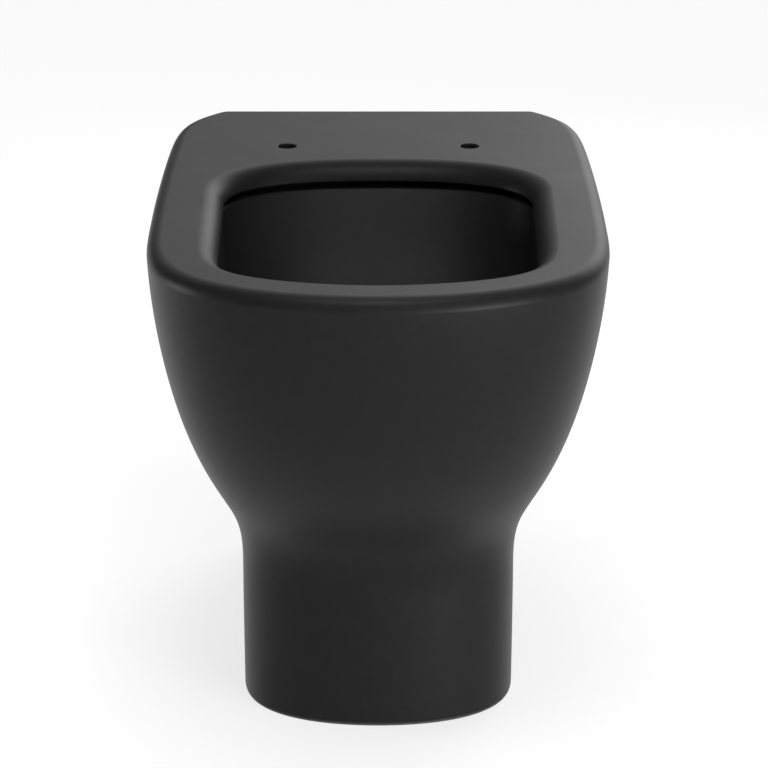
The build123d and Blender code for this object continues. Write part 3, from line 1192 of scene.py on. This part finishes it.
        shoulder = [(across, self.opening_rear + ahead) for across, ahead in self.rear_corner]
        shoulder += [beside(begin - self.rear_corner_handle), beside(begin)]
        nose = [beside(end), beside(end + self.front_corner_handle)]
        nose += [(across, self.opening_front - back) for across, back in self.front_corner]
        right = np.concatenate((
            bezier(shoulder, np.linspace(0.0, 1.0, self.corner_steps, endpoint=False)),
            bezier([beside(begin), beside(end)], np.linspace(0.0, 1.0, self.straight_steps, endpoint=False)),
            bezier(nose, np.linspace(0.0, 1.0, self.corner_steps + 1)),
        ))
        line = np.concatenate((right, right[-2:0:-1] * (-1.0, 1.0)))
        stretch = (front - rear) / (self.opening_front - self.opening_rear)
        return (line - (0.0, self.opening_rear)) * (half / self.opening_half, stretch) + (0.0, rear)

    def grown(self, growth: float) -> np.ndarray:
        """The opening's line grown all round."""
        return self.opening_line(
            self.opening_rear - growth, self.opening_front + growth, self.opening_half + growth)

    def bowl_line(self, level: float, growth: float = 0.0, drop: float = 0.0) -> np.ndarray:
        """Closed line of the bowl at a level.

        Args:
            level: the level.
            growth: how far outside the bowl's surface.
            drop: how far the bowl's lowest level is lowered.

        Returns:
            Its points, as distances across and out from the wall.
        """
        back = self.lip_setback
        lip = (self.lip_top, self.opening_rear - back, self.opening_front + back, self.opening_half + back)
        table = np.array([lip, *self.bowl_levels])
        table[:, 0] -= drop * np.arange(len(table)) / len(self.bowl_levels)
        rear, front, half = smooth_through(table[::-1], level)
        return self.opening_line(rear - growth, front + growth, half + growth)

    def rim(self) -> list[Row]:
        """Closed lines from the deck over the roll and round the flush channel to the top of the lip.

        Returns:
            The lines with their levels, in order.
        """
        edge = self.grown(0.0)
        square = outward(edge, closed=True)
        rows = []
        last = math.radians(self.roll_turn)
        across = self.roll_width / math.sin(last)
        down = (self.overhang - self.slot_edge_radius) / (1.0 - math.cos(last))
        for turn in np.linspace(0.0, last, self.roll_rows):
            level = self.height - down * (1.0 - math.cos(turn))
            rows.append((edge + square * across * (math.sin(last) - math.sin(turn)), level))
        for aside, up in arc(self.slot_edge_radius, self.slot_edge_runs):
            rows.append((edge + square * aside, self.slot_top + up))
        roof = np.linspace(self.slot_roof_start, self.channel_outside, self.slot_roof_rows)
        rows += [(self.grown(growth), self.slot_top) for growth in roof]
        middle = between(self.slot_top, self.channel_floor, 0.5)
        rows += [(self.grown(self.channel_outside), level) for level in (middle, self.channel_floor)]
        rows += [(self.grown(self.channel_inside), level) for level in (self.channel_floor, middle)]
        for inward, below in arc(self.lip_back_radius, self.lip_back_runs):
            rows.append((self.grown(self.channel_inside - inward), self.lip_top - below))
        return rows

    def lip(self) -> list[Row]:
        """Closed lines over the rounded lip, below which the bowl leans in differently all round.

        Returns:
            The lines, each with the level of each of its points.
        """
        corner = self.bowl_line(self.lip_top)
        below = self.bowl_line(self.lip_top - self.lip_radius)
        square = outward(corner, closed=True)
        lean = np.arctan2(np.sum((corner - below) * square, axis=1), self.lip_radius)
        setback = self.lip_radius * np.tan((QUARTER - lean) / 2)
        rows = []
        for share in np.linspace(0.0, 1.0, self.lip_rows):
            turn = share * (QUARTER - lean)
            line = corner + square * (setback - self.lip_radius * np.sin(turn))[:, None]
            rows.append((line, self.lip_top - self.lip_radius * (1.0 - np.cos(turn))))
        return rows

    def bowl(self) -> list[Row]:
        """Closed lines down the inside of the bowl to the bottom of the sump.

        Returns:
            The lines with their levels, in order.
        """
        top = self.lip_top - self.lip_clearance * self.lip_radius
        levels = np.linspace(top, self.bowl_levels[-1][0], self.bowl_rows)
        return [(self.bowl_line(level), level) for level in levels]

    def bolt_hole(self, middle: float) -> list[Row]:
        """Circles down a seat bolt's hole.

        Args:
            middle: how far across the hole lies.

        Returns:
            The circles with their levels, from the rounded edge down past the underside of the deck.
        """
        circle = np.stack((np.cos(ROUND), np.sin(ROUND)), axis=1)
        rows = []
        for turn in np.linspace(0.0, QUARTER, self.seat_hole_rows):
            radius = self.seat_hole / 2 + self.seat_hole_radius * (1.0 - math.sin(turn))
            level = self.height - self.seat_hole_radius * (1.0 - math.cos(turn))
            rows.append((circle * radius + (middle, self.seat_reach), level))
        bottom = circle * self.seat_hole / 2 + (middle, self.seat_reach)
        return [*rows, (bottom, self.underside - self.seat_hole_overrun)]

    def filled_form(self) -> bpy.types.Object:
        """Makes the pan's whole outside with its bowl and channel, filled inside, cut square at the wall.

        Returns:
            The object, a closed solid.
        """
        mould = Mould()
        outer = mould.rings(self.outside())
        inside = mould.rings([*self.rim(), *self.lip(), *self.bowl()])
        seats = [mould.rings(self.bolt_hole(sign * self.seat_spacing / 2)) for sign in (1, -1)]
        mould.wrap(outer, Skin.GLAZED)
        mould.face(outer[0], Skin.BARE)
        mould.plate(outer[-1], [inside[0], *(seat[0] for seat in seats)], Skin.GLAZED)
        for rings in (inside, *seats):
            mould.wrap(rings, Skin.GLAZED)
            mould.face(rings[-1], Skin.GLAZED)
        made = mould.pour("pan_ceramic", self.materials)
        with mended(made.data) as work:
            cut = bmesh.ops.bisect_plane(
                work, geom=[*work.verts, *work.edges, *work.faces], dist=self.weld,
                plane_co=(0.0, WALL_Y, 0.0), plane_no=(0.0, 1.0, 0.0), clear_outer=True)
            edges = [item for item in cut["geom_cut"] if isinstance(item, bmesh.types.BMEdge)]
            bmesh.ops.edgeloop_fill(work, edges=edges, mat_nr=Skin.BARE.value)
            bmesh.ops.recalc_face_normals(work, faces=work.faces)
        return made

    def end_profile(self, near: float, far: float, radius: float) -> list[tuple[float, float]]:
        """Profile of a bar with a rounded end.

        Args:
            near: the reach of its rounded end.
            far: the reach of its square end.
            radius: its radius.

        Returns:
            Places along Y, each with a radius.
        """
        edge = arc(self.spigot_radius, self.spigot_edge_runs)[::-1]
        steps = [(WALL_Y - near - along, radius - inward) for inward, along in edge]
        return [*steps, (WALL_Y - far, radius)]

    def poured(self, moulds: dict[str, Mould]) -> list[bpy.types.Object]:
        """Makes the mesh object of each mould under its name."""
        return [mould.pour(name, self.materials) for name, mould in moulds.items()]

    def inner_forms(self) -> list[bpy.types.Object]:
        """Makes closed solids of all that stands inside the casting.

        Returns:
            The rim box with the bowl, the trapway, the outlet, the flush inlet and its chamber.
        """
        above = between(self.underside, self.height, 0.5)
        rows = [(self.grown(self.rim_box), level) for level in (above, self.rim_box_floor)]
        lowest = self.bowl_levels[-1][0] - self.sump_wall
        for level in np.linspace(self.rim_box_floor, lowest, self.bowl_outside_rows):
            rows.append((self.bowl_line(level, self.wall, self.sump_wall), level))
        bowl = Mould()
        radius = self.trap_bore / 2 + self.trap_wall
        outlet = self.end_profile(self.outlet_end_reach, self.flare_reach, self.outlet_diameter / 2)
        outlet.append((WALL_Y - self.flare_reach - self.outlet_flare, radius - self.overrun))
        inlet_end = self.opening_rear + self.inlet_past_opening
        inlet = self.end_profile(self.inlet_end_reach, inlet_end, self.inlet_diameter / 2)
        half = self.chamber_width / 2 + self.chamber_wall
        reaches = (self.chamber_rear_reach - self.chamber_wall, self.opening_rear + self.rim_box)
        return self.poured({
            "bowl_outside": bowl.solid(bowl.rings(rows), Skin.BARE),
            "trapway_outside": Mould().tube(self.trap_line, radius, Skin.BARE),
            "outlet_outside": Mould().turned(outlet, self.outlet_middle, Axis.ALONG, Skin.BARE),
            "inlet_outside": Mould().turned(inlet, self.inlet_middle, Axis.ALONG, Skin.BARE),
            "chamber_outside": Mould().block(half, reaches, (self.inlet_height, above), Skin.BARE),
        })

    def hollow_form(self) -> bpy.types.Object:
        """Makes a closed solid of the space inside the casting, round all that stands in it.

        Returns:
            The object, which runs out past the casting below and behind.
        """
        foot = [(share, level + self.hollow_lift) for share, level in self.foot_profile]
        foot[0] = (self.foot_profile[0][0], -self.wall)
        flank = [(share, level + self.hollow_lift) for share, level in self.flank_profile]
        high = share_at(flank, self.underside)
        rows = self.body_rows(foot, np.linspace(0.0, 1.0, self.hollow_foot_rows), self.wall)
        rows += self.body_rows(flank, np.linspace(0.0, high, self.hollow_flank_rows)[1:], self.wall)
        mould = Mould()
        made = mould.solid(mould.rings(rows), Skin.BARE).pour("pan_hollow", self.materials)
        cut_out(made, self.inner_forms())
        return made

    def water_ways(self) -> list[bpy.types.Object]:
        """Makes closed solids of the bores.

        Returns:
            The trapway's, the outlet's, the flush inlet's, the chamber and the side fixings' holes.
        """
        outlet = [
            (WALL_Y - self.outlet_end_reach + self.wall, self.outlet_bore / 2),
            (WALL_Y - self.flare_reach, self.outlet_bore / 2),
            (WALL_Y - self.flare_reach - self.outlet_flare, self.trap_bore / 2 - self.overrun),
        ]
        inlet = [
            (WALL_Y - self.inlet_end_reach + self.wall, self.inlet_bore / 2),
            (WALL_Y - self.inlet_bore_end_reach, self.inlet_bore / 2),
        ]
        side = [(sign * self.width / 2, self.side_hole / 2) for sign in (1, -1)]
        reaches = (self.chamber_rear_reach, self.opening_rear - self.channel_inside - self.overrun)
        levels = (self.inlet_height, self.slot_top - self.overrun)
        across = (0.0, WALL_Y - self.side_reach, self.side_height)
        return self.poured({
            "trapway_bore": Mould().tube(self.trap_line, self.trap_bore / 2, Skin.GLAZED),
            "outlet_bore": Mould().turned(outlet, self.outlet_middle, Axis.ALONG, Skin.GLAZED),
            "inlet_bore": Mould().turned(inlet, self.inlet_middle, Axis.ALONG, Skin.GLAZED),
            "chamber": Mould().block(self.chamber_width / 2, reaches, levels, Skin.GLAZED),
            "side_holes": Mould().turned(side, across, Axis.ACROSS, Skin.BARE),
        })

    def build(self) -> bpy.types.Object:
        """Builds the casting and puts it in the place of the plain one.

        Returns:
            The casting.
        """
        self.materials = [GLAZE.material(), CLAY.material()]
        pan = self.filled_form()
        cut_out(pan, [self.hollow_form(), *self.water_ways()])
        with mended(pan.data) as work:
            bmesh.ops.remove_doubles(work, verts=work.verts, dist=self.weld)
            bmesh.ops.dissolve_degenerate(work, edges=work.edges, dist=self.weld)
            bmesh.ops.recalc_face_normals(work, faces=work.faces)
            loose = sum(not edge.is_manifold for edge in work.edges)
        pan.data.polygons.foreach_set("use_smooth", [True] * len(pan.data.polygons))
        pan.data.set_sharp_from_angle(angle=math.radians(self.sharp_over))
        pan.modifiers.new("even_normals", "WEIGHTED_NORMAL").keep_sharp = True
        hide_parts("pan_body")
        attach(pan, "pan")
        log.info("built %s, %d faces, %d edges not closed", pan.name, len(pan.data.polygons), loose)
        return pan


@dataclass
class Fixings:
    """The carried-over pieces of the side fixings and the seal, each with its finish."""

    finishes: dict[str, Finish] = field(default_factory=lambda: {
        "inlet_seal": RUBBER,
        "floor_bracket": NYLON,
        "bracket_nut": ZINC,
        "side_screw": ZINC,
        "screw_washer": ZINC,
        "side_sleeve": SLEEVE,
        "cover_cap": CAP,
    })

    def dress(self, node: bpy.types.Object, material: bpy.types.Material) -> None:
        """Gives a carried-over node its material.

        Args:
            node: the node.
            material: the material.
        """
        node.data.materials.clear()
        node.data.materials.append(material)
        for slot in node.material_slots:
            slot.material = material

    def build(self) -> None:
        """Dresses every fixing and reports it."""
        for stem, finish in self.finishes.items():
            material = finish.material()
            for name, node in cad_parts.items():
                if name.startswith(stem):
                    self.dress(node, material)
                    log.info("dressed %s with %s", name, finish.name)


def main() -> None:
    """Builds the studio and every piece."""
    logging.basicConfig(level=logging.INFO, format="%(name)s: %(message)s")
    Studio().build()
    Pan().build()
    Fixings().build()


if __name__ == "__main__":
    main()
